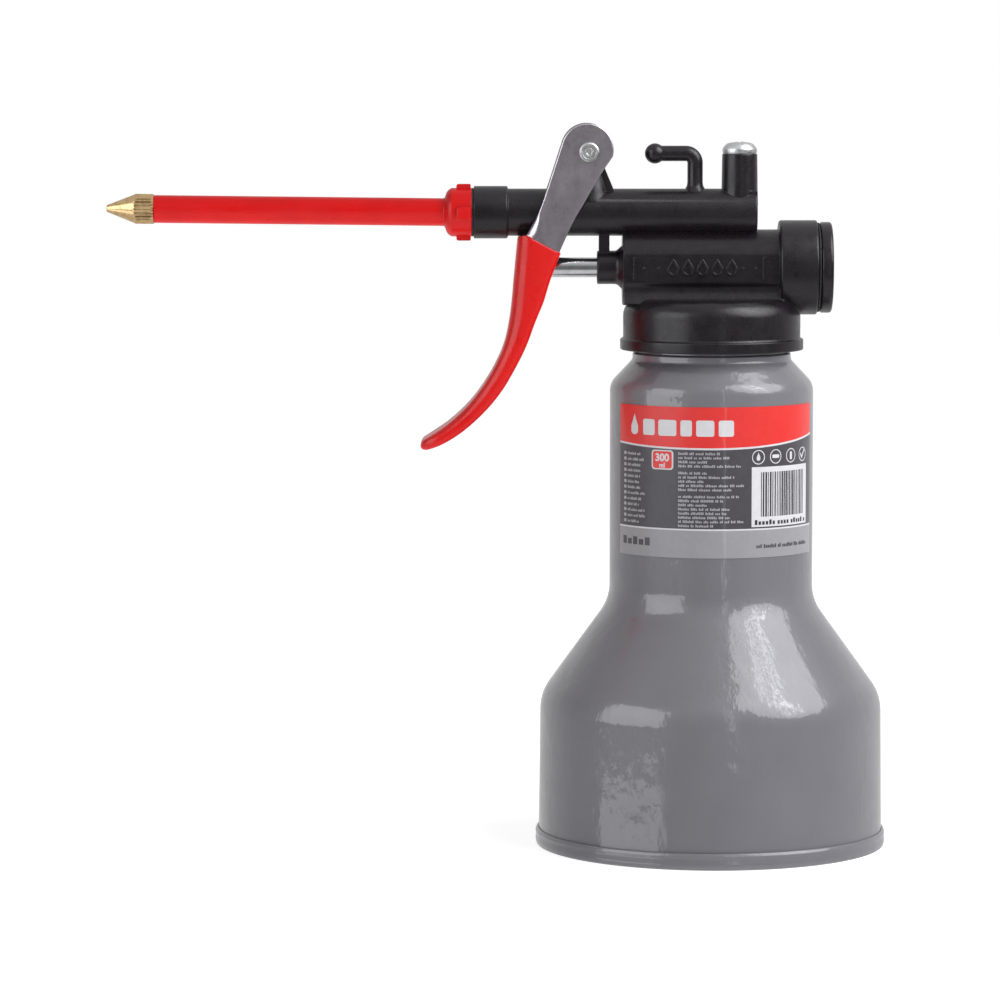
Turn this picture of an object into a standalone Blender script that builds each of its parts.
"""Pistol-grip pump oil can: painted can, moulded pump head, lever, plunger, two ball valves and screwed spout.

Units are metres, Z is up. The can's axis is Z, its base stands on z = 0, and the spout points along -X.
Sizes below are in millimetres and are turned into metres once, where each solid is made.
"""

import math

import bmesh
import bpy
from mathutils import Matrix, Vector

MM = 0.001

# ---- driving sizes, in millimetres -------------------------------------------------------------------------
CAN_SEGS = 48
SHEET = 0.5                 # can wall
CAN_WALL = [                # outside of the can wall, from the seam up to the rim: (radius, height)
    (39.25, 1.1), (39.2, 4.0), (38.95, 27.5), (38.7, 32.6), (38.05, 35.2), (36.75, 37.5), (33.3, 42.1),
    (28.4, 48.9), (26.75, 51.2), (25.15, 53.6), (24.0, 55.9), (23.35, 58.3), (23.1, 61.5), (23.1, 104.0),
    (22.5, 106.3), (20.25, 108.55), (18.3, 110.8), (18.0, 112.0), (17.2, 112.7), (17.2, 120.3),
]
RIM_Z = 120.3

NECK_PITCH = 3.0            # screw between can neck and cap
NECK_ROOT, NECK_CREST = 17.2, 18.0
CAP_BORE, CAP_CREST = 18.5, 17.6

CAP_R = 20.15
CAP_TOP = 125.0
CAP_UNDER = 122.3

PUMP_Z = 131.9              # pump cylinder axis height
PUMP_R = 8.6
BORE_R = 5.5
BORE_START = -18.0
COLLAR_R = 10.7
COLLAR_X = (15.1, 23.8)
GLAND_R = 3.8
GLAND_X = -26.1

PIPE_Z = 144.4              # delivery pipe axis height
PIPE_R = 5.35
PIPE_X = (-53.95, 10.1)
SOCKET_R = 5.95
SOCKET_END = -46.5

SPOUT_PITCH = 2.0           # screw between spout and socket
SPOUT_ROOT, SPOUT_CREST = 3.55, 4.3
SOCKET_BORE, SOCKET_CREST = 4.6, 3.85
SPOUT_RISE = 0.0108         # the spout's slight upward set, rise per length beyond the collar

VALVE_X = 6.2               # both ball valves stand on this line
BALL_R = 2.0
SEAT_R = 1.3
CHAMBER_R = 2.5
OUTLET_SEAT_Z = 140.8
INLET_SEAT_Z = 118.6
OUTLET_BALL_Z = 142.4
INLET_BALL_Z = 120.2

PIVOT = (-28.0, 158.1)      # lever pivot, X and Z
HEAD_C = (-28.4, 158.65)    # centre of the lever's round head
HEAD_R = 5.9
LEVER_Y = 6.95              # half the lever's width outside
STEEL = 1.2                 # lever plate
COAT = 0.65                 # dipped coat
FIT = 0.15                  # gap left between the plate and its coat

ROD_R = 2.25
ROD_NOSE = -41.5

# front edge, rear edge of the dipped grip, paired down the lever
GRIP_RIBS = [
    ((-43.9, 140.6), (-31.9, 140.6)), ((-44.35, 137.4), (-33.8, 137.2)), ((-44.6, 133.6), (-35.1, 133.3)),
    ((-45.0, 129.5), (-36.7, 129.0)), ((-45.4, 125.0), (-38.3, 124.2)), ((-45.9, 120.8), (-40.1, 119.8)),
    ((-46.9, 115.7), (-42.2, 114.2)), ((-48.6, 111.2), (-44.8, 109.0)), ((-51.3, 106.3), (-47.8, 104.0)),
    ((-55.0, 101.3), (-51.6, 99.4)), ((-59.4, 97.1), (-56.6, 94.9)), ((-63.6, 94.2), (-62.0, 91.7)),
    ((-66.2, 92.6), (-65.4, 90.35)),
]
GRIP_TIP = [(-66.85, 92.0), (-66.7, 90.9), (-66.2, 90.45)]
EAR_FRONT = [(-34.0, 160.1), (-36.85, 151.7), (-37.7, 149.1), (-38.85, 145.7), (-40.0, 142.9), (-41.6, 140.9)]
EAR_REAR = [(-22.8, 156.9), (-25.2, 153.4), (-29.0, 146.7), (-31.05, 143.3)]


# ---- small tools -------------------------------------------------------------------------------------------
def material(name, colour, metallic, roughness):
    mat = bpy.data.materials.new(name)
    mat.use_nodes = True
    shader = mat.node_tree.nodes["Principled BSDF"]
    shader.inputs["Base Color"].default_value = (*colour, 1.0)
    shader.inputs["Metallic"].default_value = metallic
    shader.inputs["Roughness"].default_value = roughness
    return mat


def solid(name, points, faces):
    """One closed body from points in millimetres, with its normals turned outward."""
    bm = bmesh.new()
    verts = [bm.verts.new(Vector(p) * MM) for p in points]
    for face in faces:
        bm.faces.new([verts[i] for i in face])
    bmesh.ops.recalc_face_normals(bm, faces=bm.faces[:])
    if bm.calc_volume(signed=True) < 0:
        bmesh.ops.reverse_faces(bm, faces=bm.faces[:])
    mesh = bpy.data.meshes.new(name)
    bm.to_mesh(mesh)
    bm.free()
    obj = bpy.data.objects.new(name, mesh)
    bpy.context.scene.collection.objects.link(obj)
    return obj


def place(kind, centre=(0.0, 0.0)):
    """A map from the turning axis's own (x, y, height) to the object's axes: 'z' keeps it, 'x' lays it along X."""
    if kind == "z":
        return lambda p: (p[0] + centre[0], p[1] + centre[1], p[2])
    if kind == "x":
        return lambda p: (p[2], p[0] + centre[0], p[1] + centre[1])
    return lambda p: (p[1] + centre[0], p[2], p[0] + centre[1])


def turned(name, profile, segs, axis="z", centre=(0.0, 0.0), phase=0.0):
    """A closed profile of (radius, height) turned about an axis. Points at radius 0 become poles."""
    put = place(axis, centre)
    points, rings, faces = [], [], []
    for r, h in profile:
        if r <= 1e-9:
            rings.append([len(points)])
            points.append(put((0.0, 0.0, h)))
        else:
            ring = []
            for k in range(segs):
                a = phase + 2 * math.pi * k / segs
                ring.append(len(points))
                points.append(put((r * math.cos(a), r * math.sin(a), h)))
            rings.append(ring)
    closed = profile[0][0] > 1e-9
    pairs = [(i, i + 1) for i in range(len(rings) - 1)] + ([(len(rings) - 1, 0)] if closed else [])
    for i, j in pairs:
        a, b = rings[i], rings[j]
        if len(a) == 1 and len(b) == 1:
            continue
        for k in range(segs):
            n = (k + 1) % segs
            if len(a) == 1:
                faces.append((a[0], b[k], b[n]))
            elif len(b) == 1:
                faces.append((a[k], a[n], b[0]))
            else:
                faces.append((a[k], a[n], b[n], b[k]))
    return solid(name, points, faces)


def rod(name, r, low, high, segs=24, axis="z", centre=(0.0, 0.0), phase=0.0):
    return turned(name, [(0, low), (r, low), (r, high), (0, high)], segs, axis, centre, phase)


def plate(name, outline, low, high, axis="y"):
    """An outline in XZ carried along Y, or in YZ carried along X."""
    n = len(outline)
    if axis == "y":
        points = [(x, low, z) for x, z in outline] + [(x, high, z) for x, z in outline]
    else:
        points = [(low, y, z) for y, z in outline] + [(high, y, z) for y, z in outline]
    faces = [tuple(range(n)), tuple(range(2 * n - 1, n - 1, -1))]
    faces += [(i, (i + 1) % n, n + (i + 1) % n, n + i) for i in range(n)]
    return solid(name, points, faces)


def block(name, x, y, z):
    return plate(name, [(x[0], z[0]), (x[1], z[0]), (x[1], z[1]), (x[0], z[1])], y[0], y[1])


def swept(name, path, r, segs=10, up=(0, 1, 0)):
    """A round bar along a path of points, with flat closed ends."""
    path = [Vector(p) for p in path]
    points, faces = [], []
    for i, p in enumerate(path):
        ahead = path[min(i + 1, len(path) - 1)] - path[max(i - 1, 0)]
        t = ahead.normalized()
        side = t.cross(Vector(up)).normalized()
        rise = side.cross(t).normalized()
        for k in range(segs):
            a = 2 * math.pi * k / segs
            points.append(tuple(p + (side * math.cos(a) + rise * math.sin(a)) * r))
    for i in range(len(path) - 1):
        for k in range(segs):
            n = (k + 1) % segs
            faces.append((i * segs + k, i * segs + n, (i + 1) * segs + n, (i + 1) * segs + k))
    faces.append(tuple(range(segs)))
    faces.append(tuple(range(len(points) - 1, len(points) - segs - 1, -1)))
    return solid(name, points, faces)


def ridge(name, r_in, r_out, crest_out, pitch, low, turns, base, crest, per_turn, axis="z", centre=(0.0, 0.0),
          start=0.0):
    """One right-hand screw ridge. Its wide side is buried in the wall that carries it."""
    put = place(axis, centre)
    steps = int(round(turns * per_turn))
    points, faces = [], []
    for i in range(steps + 1):
        a = 2 * math.pi * i / per_turn
        z = low + pitch * i / per_turn
        fade = min(1.0, i / 2.0 + 0.25, (steps - i) / 2.0 + 0.25)
        wall, tip = (r_in, r_in + (r_out - r_in) * fade) if crest_out else (r_out, r_out - (r_out - r_in) * fade)
        for r, h in ((wall, z - base / 2), (tip, z - crest / 2), (tip, z + crest / 2), (wall, z + base / 2)):
            points.append(put((r * math.cos(a + start), r * math.sin(a + start), h)))
    for i in range(steps):
        for k in range(4):
            n = (k + 1) % 4
            faces.append((4 * i + k, 4 * i + n, 4 * i + 4 + n, 4 * i + 4 + k))
    faces += [(0, 1, 2, 3), tuple(4 * steps + k for k in (3, 2, 1, 0))]
    return solid(name, points, faces)


def coil(name, r, wire, low, high, turns, axis, centre, per_turn=10, segs=6):
    """A round-wire compression spring, low and high being the outside of its end coils."""
    put = place(axis, centre)
    length = high - low - wire
    points = []
    steps = turns * per_turn
    for i in range(steps + 1):
        a = 2 * math.pi * i / per_turn
        points.append(put(((r - wire / 2) * math.cos(a), (r - wire / 2) * math.sin(a),
                           low + wire / 2 + length * i / steps)))
    along = {"z": (0, 0, 1), "x": (1, 0, 0)}[axis]
    return swept(name, points, wire / 2, segs, along)


def combine(obj, other, how):
    """Adds or cuts another solid, then removes it.

    Every piece here is closed, so the manifold solver serves; the exact one leaves open edges in the pump body
    and in the dipped coat, where many turned faces cross.
    """
    step = obj.modifiers.new("combine", "BOOLEAN")
    step.operation = how
    step.solver = "MANIFOLD"
    step.object = other
    bpy.context.view_layer.update()
    graph = bpy.context.evaluated_depsgraph_get()
    mesh = bpy.data.meshes.new_from_object(obj.evaluated_get(graph))
    obj.modifiers.remove(step)
    old = obj.data
    obj.data = mesh
    bpy.data.meshes.remove(old)
    mesh.name = obj.name
    spare = other.data
    bpy.data.objects.remove(other)
    bpy.data.meshes.remove(spare)
    return obj


def add(obj, *others):
    for other in others:
        combine(obj, other, "UNION")
    return obj


def cut(obj, *others):
    for other in others:
        combine(obj, other, "DIFFERENCE")
    return obj


def clean(obj):
    """Welds the short edges that cutting leaves and keeps the mesh closed."""
    bm = bmesh.new()
    bm.from_mesh(obj.data)
    bmesh.ops.remove_doubles(bm, verts=bm.verts[:], dist=0.01 * MM)
    bmesh.ops.dissolve_degenerate(bm, edges=bm.edges[:], dist=0.002 * MM)
    bmesh.ops.triangulate(bm, faces=bm.faces[:])
    bm.to_mesh(obj.data)
    bm.free()
    return obj


def carrier(name, point, parent=None):
    """An empty on a joint's axis, which carries the pieces that move together there."""
    obj = bpy.data.objects.new(name, None)
    bpy.context.scene.collection.objects.link(obj)
    obj.location = Vector(point) * MM
    if parent:
        obj.parent = parent
        obj.location = obj.location - spot(parent)
    return obj


def spot(obj):
    """Where an empty stands, adding up the empties it hangs from."""
    return obj.location + (spot(obj.parent) if obj.parent else Vector())


def finish(obj, mat, holder):
    """Gives a piece its material and smooth sides, and hangs it from its carrier."""
    obj.data.materials.clear()
    obj.data.materials.append(mat)
    obj.data.transform(Matrix.Translation(-spot(holder)))
    obj.parent = holder
    obj.data.shade_smooth()
    obj.data.set_sharp_from_angle(angle=math.radians(35))
    return obj


def inset(profile, depth):
    """The inside of a wall of even thickness, from its outside profile of (radius, height)."""
    out = []
    for i, (r, z) in enumerate(profile):
        a = profile[max(i - 1, 0)]
        b = profile[min(i + 1, len(profile) - 1)]
        dr, dz = b[0] - a[0], b[1] - a[1]
        size = math.hypot(dr, dz)
        out.append((r - depth * dz / size, z + depth * dr / size))
    return out


def arc(centre, r, start, end, steps):
    """Points on an arc, angles in degrees."""
    return [(centre[0] + r * math.cos(math.radians(start + (end - start) * i / steps)),
             centre[1] + r * math.sin(math.radians(start + (end - start) * i / steps))) for i in range(steps + 1)]


def toward(a, b, d):
    """The point a distance d from a toward b."""
    size = math.hypot(b[0] - a[0], b[1] - a[1])
    return (a[0] + (b[0] - a[0]) * d / size, a[1] + (b[1] - a[1]) * d / size)


# ---- the can -----------------------------------------------------------------------------------------------
def make_can_shell():
    inner = inset(CAN_WALL, SHEET)[1:-4]
    inner = [(CAN_WALL[0][0] - SHEET, CAN_WALL[0][1])] + inner + [
        (17.75, 110.4), (NECK_ROOT - SHEET, 112.0), (NECK_ROOT - SHEET, RIM_Z)]
    obj = turned("can_shell", CAN_WALL + inner[::-1], CAN_SEGS)
    thread = ridge("thread", NECK_ROOT - 0.3, NECK_CREST, True, NECK_PITCH, 114.2, 1.7, 1.2, 0.5, 24)
    return clean(add(obj, thread))


def make_can_base():
    profile = [
        (0, 1.0), (33.0, 1.0), (34.6, 2.2), (37.8, 2.2), (38.4, 0.0), (39.6, 0.0), (40.0, 0.4), (40.0, 3.3),
        (39.7, 3.7), (39.4, 3.7), (39.4, 0.8), (38.6, 0.8), (38.5, 2.8), (34.3, 2.8), (32.7, 1.6), (0, 1.6),
    ]
    return turned("can_base", profile, CAN_SEGS)


def make_label():
    """A wrap that covers the front of the straight neck, bent over the same facets as the can."""
    r_in, r_out, low, high = 23.16, 23.4, 67.85, 101.85
    half = 9                 # facets each side of the front
    front = CAN_SEGS * 3 // 4
    points, faces = [], []
    steps = range(front - half, front + half + 1)
    for k in steps:
        a = 2 * math.pi * k / CAN_SEGS
        for r, z in ((r_in, low), (r_out, low), (r_out, high), (r_in, high)):
            points.append((r * math.cos(a), r * math.sin(a), z))
    n = len(points) // 4
    for i in range(n - 1):
        for k in range(4):
            m = (k + 1) % 4
            faces.append((4 * i + k, 4 * i + m, 4 * i + 4 + m, 4 * i + 4 + k))
    faces += [(0, 1, 2, 3), tuple(4 * (n - 1) + k for k in (3, 2, 1, 0))]
    return solid("label", points, faces)


# ---- the pump head -----------------------------------------------------------------------------------------
def make_pump_body():
    cap = [
        (0, 113.3), (20.5, 113.3), (20.8, 113.6), (20.8, 115.5), (20.45, 115.9), (CAP_R, 116.1), (CAP_R, 121.4), (19.75, 123.0), (18.7, 124.3),
        (17.1, 124.95), (15.5, CAP_TOP), (0, CAP_TOP),
    ]
    body = turned("pump_body", cap, CAN_SEGS)
    foot = plate("foot", [(-8.3, 124.0), (8.3, 124.0), (7.4, 127.3), (7.4, 131.9), (-7.4, 131.9), (-7.4, 127.3)],
                 -20.2, 16.0, "x")
    barrel = [
        (0, -20.35), (8.3, -20.35), (PUMP_R, -20.0), (PUMP_R, 14.9), (COLLAR_R - 0.4, COLLAR_X[0]),
        (COLLAR_R, COLLAR_X[0] + 0.5), (COLLAR_R, COLLAR_X[1] - 0.4), (COLLAR_R - 0.4, COLLAR_X[1]), (0, COLLAR_X[1]),
    ]
    pump = turned("pump", barrel, 36, "x", (0.0, PUMP_Z))
    gland = turned("gland", [(0, GLAND_X), (3.5, GLAND_X), (GLAND_R, GLAND_X + 0.3), (GLAND_R, -21.4), (5.1, -20.0),
                             (0, -20.0)], 24, "x", (0.0, PUMP_Z))
    web = block("web", (-25.7, -23.3), (-2.0, 2.0), (133.5, 141.0))
    pipe = turned("pipe", [(0, PIPE_X[0] + 0.01), (5.0, PIPE_X[0] + 0.01), (PIPE_R, -53.0), (PIPE_R, PIPE_X[1] - 0.4),
                           (PIPE_R - 0.4, PIPE_X[1]), (0, PIPE_X[1])], 28, "x", (0.0, PIPE_Z))
    socket = turned("socket", [(0, PIPE_X[0]), (SOCKET_R - 0.3, PIPE_X[0]), (SOCKET_R, PIPE_X[0] + 0.3),
                               (SOCKET_R, SOCKET_END - 0.3), (5.2, SOCKET_END + 0.3), (0, SOCKET_END + 0.3)],
                    28, "x", (0.0, PIPE_Z), 0.02)
    post = plate("post", [(-33.6, 147.5), (-22.2, 147.5), (-24.2, 152.0), (-25.2, 157.0), (-30.9, 157.0),
                          (-31.7, 152.0)], -4.3, 4.3)
    knuckle = rod("knuckle", 3.9, -5.3, 5.3, 24, "y", PIVOT)
    boss = turned("boss", [(0, 146.0), (4.05, 146.0), (3.95, 157.4), (3.6, 157.8), (0, 157.8)], 24, "z", (VALVE_X, 0.0))
    back = plate("back", [(VALVE_X, 141.0), (10.05, 141.0), (10.05, 151.5), (VALVE_X + 2.0, 152.6), (VALVE_X, 152.6)],
                 -2.6, 2.6)
    hook = swept("hook", [(-3.9, 0, 147.5), (-3.9, 0, 155.9), (-4.15, 0, 157.0), (-4.9, 0, 157.55), (-5.8, 0, 157.7),
                          (-12.0, 0, 157.7)], 1.75, 12)
    knob = turned("knob", [(0, -15.3)] + [(2.3 * math.cos(math.radians(a)), -13.0 + 2.3 * math.sin(math.radians(a)))
                                          for a in range(-60, 61, 30)] + [(0, -10.7)], 14, "x", (0.0, 157.7), 0.1)
    stem = turned("stem", [(0, 108.0), (4.2, 108.0), (4.2, 121.0), (5.2, 123.0), (0, 123.0)], 24, "z", (VALVE_X, 0.0))
    add(body, foot, pump, gland, web, pipe, socket, post, knuckle, boss, back, hook, knob)
    inside = turned("inside", [(0, 112.0), (19.2, 112.0), (19.2, 113.2), (CAP_BORE, 113.9), (CAP_BORE, CAP_UNDER),
                               (0, CAP_UNDER)], CAN_SEGS)
    cut(body, inside)
    add(body, stem)

    bore = turned("bore", [(0, BORE_START), (BORE_R, BORE_START), (BORE_R, 15.9), (7.8, 16.1), (7.8, 30.0), (0, 30.0)],
                  32, "x", (0.0, PUMP_Z))
    rod_hole = turned("rod_hole", [(0, -30.0), (3.25, -30.0), (3.25, -23.7), (2.5, -23.5), (2.5, -17.0), (0, -17.0)],
                      24, "x", (0.0, PUMP_Z))
    delivery = turned("delivery", [(0, -60.0), (SOCKET_BORE, -60.0), (SOCKET_BORE, -46.9), (2.2, -46.5), (2.2, VALVE_X),
                                   (0, VALVE_X)], 28, "x", (0.0, PIPE_Z))
    outlet = turned("outlet", [(0, PUMP_Z), (SEAT_R, PUMP_Z), (SEAT_R, OUTLET_SEAT_Z), (CHAMBER_R, OUTLET_SEAT_Z + 0.01),
                               (CHAMBER_R, 165.0), (0, 165.0)], 24, "z", (VALVE_X, 0.0))
    inlet = turned("inlet", [(0, 100.0), (2.95, 100.0), (2.95, 118.8), (CHAMBER_R, 118.9), (CHAMBER_R, 124.4),
                             (SEAT_R, 124.5), (SEAT_R, PUMP_Z), (0, PUMP_Z)], 24, "z", (VALVE_X, 0.0))
    rivet_hole = rod("rivet_hole", 1.6, -9.0, 9.0, 20, "y", PIVOT)
    cut(body, bore, rod_hole, delivery, outlet, inlet, rivet_hole)

    cap_thread = ridge("cap_thread", CAP_CREST, CAP_BORE + 0.3, False, NECK_PITCH, 115.7, 1.4, 1.2, 0.5, 24)
    spout_thread = ridge("spout_thread", SOCKET_CREST, SOCKET_BORE + 0.3, False, SPOUT_PITCH, -52.6, 2.0, 0.75, 0.3, 20,
                         "x", (0.0, PIPE_Z))
    add(body, cap_thread, spout_thread)
    return clean(body)


def make_rear_plug():
    """Screwed plug with a thumb bar across its sunk face."""
    profile = [
        (0, 14.6), (4.9, 14.6), (5.2, 14.9), (5.2, 15.8), (7.5, 16.5), (7.5, 24.4), (9.9, 24.4), (10.3, 24.8),
        (10.3, 26.6), (9.9, 27.0), (8.8, 27.1), (8.4, 26.1), (0, 26.1),
    ]
    plug = turned("rear_plug", profile, 36, "x", (0.0, PUMP_Z))
    bar = block("bar", (25.5, 27.0), (-8.6, 8.6), (PUMP_Z - 1.3, PUMP_Z + 1.3))
    return clean(add(plug, bar))


def make_plug_gasket():
    return turned("plug_gasket", [(8.1, 23.92), (10.1, 23.92), (10.1, 24.28), (8.1, 24.28)], 36, "x", (0.0, PUMP_Z))


def make_neck_gasket():
    return turned("neck_gasket", [(13.8, 120.6), (18.0, 120.6), (18.0, 122.0), (13.8, 122.0)], 40)


def make_valve_screw():
    """Domed screw with a cross recess, closing the outlet valve from above."""
    profile = [
        (0, 151.3), (2.1, 151.3), (2.2, 151.6), (2.2, 158.55), (3.6, 158.55), (3.7, 158.8), (3.7, 159.5),
        (3.1, 160.35), (2.1, 160.85), (1.0, 161.05), (0, 161.1),
    ]
    screw = turned("valve_screw", profile, 24, "z", (VALVE_X, 0.0))
    slots = [block("slot", (VALVE_X - a, VALVE_X + a), (-b, b), (159.7, 162.0)) for a, b in ((1.6, 0.35), (0.35, 1.6))]
    return clean(cut(screw, *slots))


def make_valve_washer():
    return turned("valve_washer", [(2.4, 157.95), (3.85, 157.95), (3.85, 158.4), (2.4, 158.4)], 24, "z", (VALVE_X, 0.0))


def make_outlet_spring():
    return coil("outlet_spring", 2.1, 0.5, 144.6, 151.2, 5, "z", (VALVE_X, 0.0))


def make_ball(name, height):
    ring = [(BALL_R * math.cos(math.radians(a)), height + BALL_R * math.sin(math.radians(a)))
            for a in range(-66, 67, 22)]
    return turned(name, [(0, height - BALL_R)] + ring + [(0, height + BALL_R)], 16, "z", (VALVE_X, 0.0))


def make_inlet_seat():
    return turned("inlet_seat", [(SEAT_R, 115.6), (2.7, 115.6), (2.7, INLET_SEAT_Z - 0.2), (2.5, INLET_SEAT_Z),
                                 (SEAT_R, INLET_SEAT_Z)], 24, "z", (VALVE_X, 0.0))


def make_suction_tube():
    """Soft pipe, cut square, that ends just above the base."""
    return turned("suction_tube", [(1.6, 6.0), (2.6, 6.0), (2.6, 115.3), (1.6, 115.3)], 20, "z", (VALVE_X, 0.0))


def make_return_spring():
    return coil("return_spring", 4.25, 0.9, -11.1, 14.3, 9, "x", (0.0, PUMP_Z))


def make_rod_seal():
    return turned("rod_seal", [(2.36, -25.9), (3.1, -25.9), (3.1, -24.0), (2.36, -24.0)], 24, "x", (0.0, PUMP_Z))


def make_pivot_rivet():
    """Tubular rivet with a rolled head on each side."""
    profile = [
        (0, -7.35), (0.75, -7.35), (1.0, -7.65), (1.7, -7.65), (2.2, -7.3), (2.2, -7.05), (1.5, -7.05), (1.5, 7.05),
        (2.2, 7.05), (2.2, 7.3), (1.7, 7.65), (1.0, 7.65), (0.75, 7.35), (0, 7.35),
    ]
    return turned("pivot_rivet", profile, 20, "y", PIVOT)


# ---- the lever ---------------------------------------------------------------------------------------------
def rib_edges(front_in, rear_in, first=0, last=None):
    """The grip's front and rear edges, each moved inward along its rib."""
    ribs = GRIP_RIBS[first:last]
    return ([toward(f, r, front_in) for f, r in ribs], [toward(r, f, rear_in) for f, r in ribs])


def make_lever_channel():
    """Pressed channel: two ears and side plates joined by a web down the front."""
    front, rear = rib_edges(COAT + FIT, COAT + FIT, 1)
    head = arc(HEAD_C, HEAD_R, 163, -17, 12)
    tip = [toward(GRIP_RIBS[-1][0], GRIP_RIBS[-1][1], 1.1)]
    outline = head[::-1] + EAR_FRONT + front[:-1] + tip + rear[:-1][::-1] + [(-32.1, 141.3)] + EAR_REAR[::-1]
    lever = plate("lever_channel", outline, -LEVER_Y, LEVER_Y)
    inner_front, _ = rib_edges(COAT + FIT + STEEL, 0.0, 1, 10)
    _, outer_rear = rib_edges(0.0, -6.0, 1, 10)
    ears = plate("ears", [(-60.0, 138.3), (-20.0, 138.3), (-10.0, 170.0), (-60.0, 170.0)], -LEVER_Y + STEEL, LEVER_Y - STEEL)
    inside = plate("inside", [(-42.9, 138.8)] + inner_front + outer_rear[::-1] + [(-20.0, 138.8)],
                   -LEVER_Y + STEEL, LEVER_Y - STEEL)
    hole = rod("hole", 1.57, -9.0, 9.0, 20, "y", PIVOT)
    return clean(cut(lever, ears, inside, hole))


def make_lever_grip():
    """Dipped coat over the lower lever, inside and out, open where the plate comes out of it."""
    front, rear = rib_edges(0.0, 0.0)
    side = LEVER_Y + FIT + COAT
    grip = plate("lever_grip", front + GRIP_TIP + rear[::-1], -side, side)

    hollow_front, _ = rib_edges(2 * COAT + 2 * FIT + STEEL, 0.0, 0, 9)
    _, beyond = rib_edges(0.0, -6.0, 0, 9)
    hollow = plate("hollow", hollow_front + beyond[::-1], -LEVER_Y + STEEL + FIT + COAT, LEVER_Y - STEEL - FIT - COAT)

    case_front, case_rear = rib_edges(COAT, COAT)
    case = plate("case", [(-43.2, 146.0)] + case_front[:-1] + [toward(GRIP_RIBS[-1][0], GRIP_RIBS[-1][1], 1.1)]
                 + case_rear[:-1][::-1] + [(-31.0, 146.0)], -LEVER_Y - FIT, LEVER_Y + FIT)
    core_front, _ = rib_edges(COAT + 2 * FIT + STEEL, 0.0, 0, 10)
    _, core_rear = rib_edges(0.0, -6.0, 0, 10)
    core = plate("core", [(-41.9, 150.0)] + core_front + core_rear[::-1] + [(-20.0, 150.0)],
                 -LEVER_Y + STEEL + FIT, LEVER_Y - STEEL - FIT)
    cut(case, core)
    above_web = plate("above_web", [(-50.0, 138.65), (-20.0, 138.65), (-20.0, 150.0), (-50.0, 150.0)], -5.72, 5.72)
    dip_line = plate("dip_line", [(-50.0, 135.6), (-44.3, 138.9), (-42.6, 139.95), (-34.0, 135.1), (-20.0, 127.5),
                                  (-20.0, 150.0), (-50.0, 150.0)], -12.0, 12.0)
    return clean(cut(grip, hollow, case, above_web, dip_line))


# ---- the plunger -------------------------------------------------------------------------------------------
def make_push_rod():
    profile = [
        (0, ROD_NOSE), (1.3, ROD_NOSE + 0.15), (2.0, ROD_NOSE + 0.6), (ROD_R, ROD_NOSE + 1.3), (ROD_R, -16.7),
        (1.5, -16.6), (1.5, -8.2), (1.2, -7.9), (0, -7.9),
    ]
    return turned("push_rod", profile, 24, "x", (0.0, PUMP_Z))


def make_piston():
    return turned("piston", [(1.6, -16.4), (4.9, -16.4), (5.25, -16.0), (5.25, -13.7), (1.6, -13.7)], 32, "x",
                  (0.0, PUMP_Z))


def make_piston_cup():
    """Cup seal: its lip faces the oil."""
    return turned("piston_cup", [(1.6, -13.5), (5.1, -13.5), (5.3, -13.2), (5.35, -10.4), (4.85, -10.4), (4.6, -12.3),
                                 (1.6, -12.3)], 32, "x", (0.0, PUMP_Z))


def make_piston_nut():
    nut = rod("piston_nut", 2.9, -12.1, -9.6, 6, "x", (0.0, PUMP_Z))
    return clean(cut(nut, rod("hole", 1.6, -13.0, -9.0, 24, "x", (0.0, PUMP_Z))))


# ---- the spout ---------------------------------------------------------------------------------------------
def set_up(obj):
    """Gives everything beyond the collar its slight upward set."""
    for v in obj.data.vertices:
        v.co.z += max(0.0, -0.0592 - v.co.x) * SPOUT_RISE
    return obj


def make_spout_washer():
    return turned("spout_washer", [(3.85, -54.5), (5.3, -54.5), (5.3, -54.1), (3.85, -54.1)], 28, "x", (0.0, PIPE_Z))


def make_spout_tube():
    """Straight pipe, collar and screwed end in one, with a bore right through."""
    profile = [
        (2.2, -126.5), (2.8, -126.5), (3.1, -126.2), (3.15, -60.2), (4.6, -59.9), (5.45, -59.2), (5.75, -58.3),
        (5.75, -55.0), (5.4, -54.65), (SPOUT_ROOT, -54.65), (SPOUT_ROOT, -47.7), (3.2, -47.3), (1.7, -47.3),
        (1.7, -119.8), (2.2, -120.2),
    ]
    spout = turned("spout_tube", profile, 24, "x", (0.0, PIPE_Z))
    thread = ridge("thread", SPOUT_ROOT - 0.3, SPOUT_CREST, True, SPOUT_PITCH, -53.6, 2.5, 0.75, 0.3, 20, "x",
                   (0.0, PIPE_Z))
    lugs = []
    for k in range(4):
        a = math.radians(90 * k)
        lug = block("lug", (-58.6, -54.9), (-1.3, 1.3), (5.0, 6.35))
        lug.data.transform(Matrix.Translation((0, 0, PIPE_Z * MM)) @ Matrix.Rotation(a, 4, "X"))
        lugs.append(lug)
    add(spout, thread, *lugs)
    return set_up(clean(spout))


def make_nozzle_tip():
    """Turned brass tip with a straight knurl, plugged into the pipe."""
    profile = [
        (0.9, -120.6), (1.75, -120.6), (1.95, -120.8), (1.95, -126.75), (3.1, -126.75), (3.4, -127.05), (3.4, -130.9),
        (3.15, -131.2), (0.95, -136.9), (0.7, -137.25), (0.45, -137.3), (0.45, -134.0), (0.9, -133.0),
    ]
    tip = turned("nozzle_tip", profile, 28, "x", (0.0, PIPE_Z))
    return set_up(tip)


# ---- build -------------------------------------------------------------------------------------------------
for spare in list(bpy.data.objects):
    bpy.data.objects.remove(spare)

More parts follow.
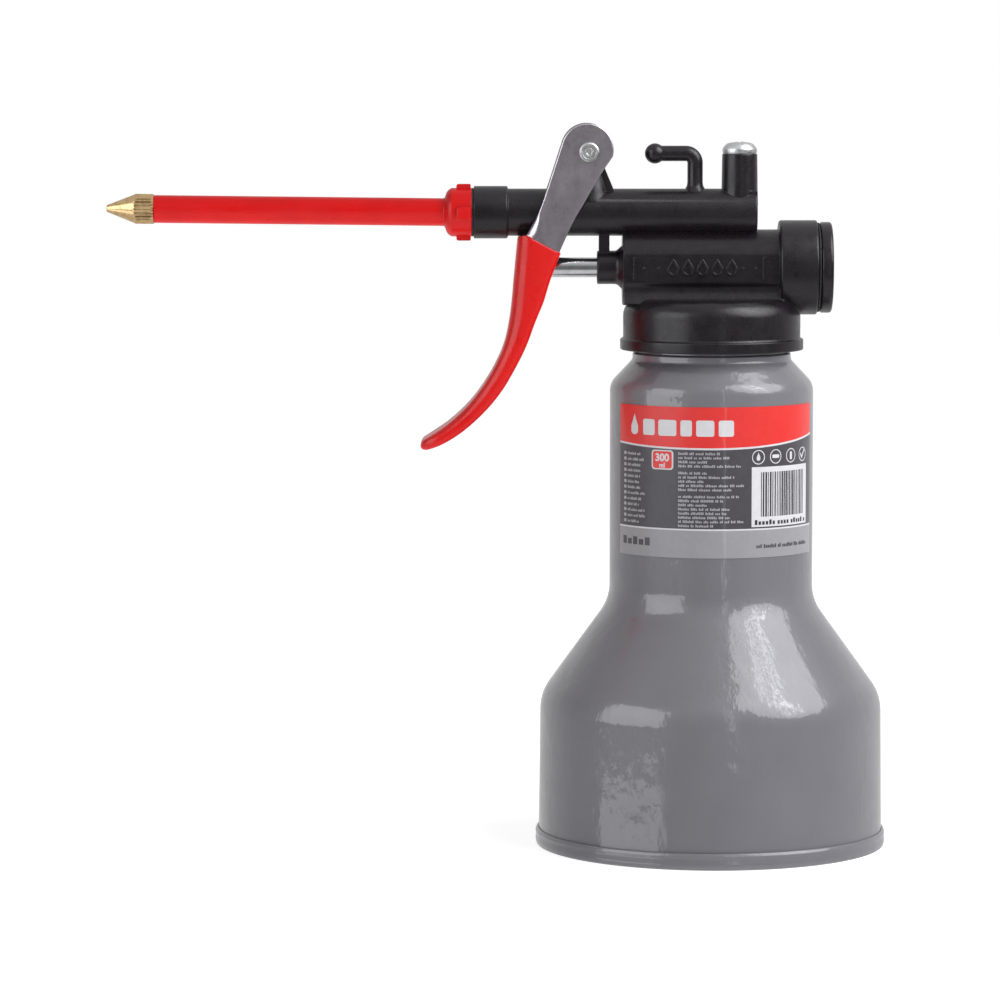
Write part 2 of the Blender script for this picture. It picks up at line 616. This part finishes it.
paint = material("can_paint", (0.21, 0.205, 0.225), 0.0, 0.25)
print_paper = material("label_print", (0.42, 0.06, 0.06), 0.0, 0.35)
black = material("black_plastic", (0.026, 0.022, 0.027), 0.0, 0.4)
red = material("red_plastic", (0.665, 0.02, 0.02), 0.0, 0.3)
dip = material("red_dip", (0.68, 0.035, 0.033), 0.0, 0.25)
steel = material("lever_steel", (0.42, 0.42, 0.44), 1.0, 0.35)
rod_steel = material("rod_steel", (0.6, 0.6, 0.62), 1.0, 0.15)
spring_steel = material("spring_steel", (0.45, 0.45, 0.47), 1.0, 0.3)
brass = material("brass", (0.6, 0.42, 0.18), 1.0, 0.3)
rubber = material("seal_rubber", (0.02, 0.02, 0.02), 0.0, 0.7)
pipe = material("suction_pipe", (0.6, 0.6, 0.58), 0.0, 0.4)

can = carrier("can", (0, 0, 0))
neck_seal = carrier("neck_seal", (0, 0, 120), can)
head = carrier("head", (0, 0, 120), neck_seal)
lever = carrier("lever", (PIVOT[0], 0, PIVOT[1]), head)
plunger = carrier("plunger", (ROD_NOSE, 0, PUMP_Z), head)
outlet_valve = carrier("outlet_valve", (VALVE_X, 0, OUTLET_SEAT_Z), head)
inlet_valve = carrier("inlet_valve", (VALVE_X, 0, INLET_SEAT_Z), head)
spout_seal = carrier("spout_seal", (PIPE_X[0], 0, PIPE_Z), head)
spout = carrier("spout", (PIPE_X[0], 0, PIPE_Z), spout_seal)

finish(make_can_shell(), paint, can)
finish(make_can_base(), paint, can)
finish(make_label(), print_paper, can)
finish(make_neck_gasket(), rubber, neck_seal)
finish(make_pump_body(), black, head)
finish(make_rear_plug(), black, head)
finish(make_plug_gasket(), rubber, head)
finish(make_valve_screw(), spring_steel, head)
finish(make_valve_washer(), rubber, head)
finish(make_outlet_spring(), spring_steel, head)
finish(make_inlet_seat(), brass, head)
finish(make_suction_tube(), pipe, head)
finish(make_return_spring(), spring_steel, head)
finish(make_rod_seal(), rubber, head)
finish(make_pivot_rivet(), spring_steel, head)
finish(make_ball("outlet_ball", OUTLET_BALL_Z), rod_steel, outlet_valve)
finish(make_ball("inlet_ball", INLET_BALL_Z), rod_steel, inlet_valve)
finish(make_lever_channel(), steel, lever)
finish(make_lever_grip(), dip, lever)
finish(make_push_rod(), rod_steel, plunger)
finish(make_piston(), black, plunger)
finish(make_piston_cup(), rubber, plunger)
finish(make_piston_nut(), spring_steel, plunger)
finish(make_spout_washer(), rubber, spout_seal)
finish(make_spout_tube(), red, spout)
finish(make_nozzle_tip(), brass, spout)
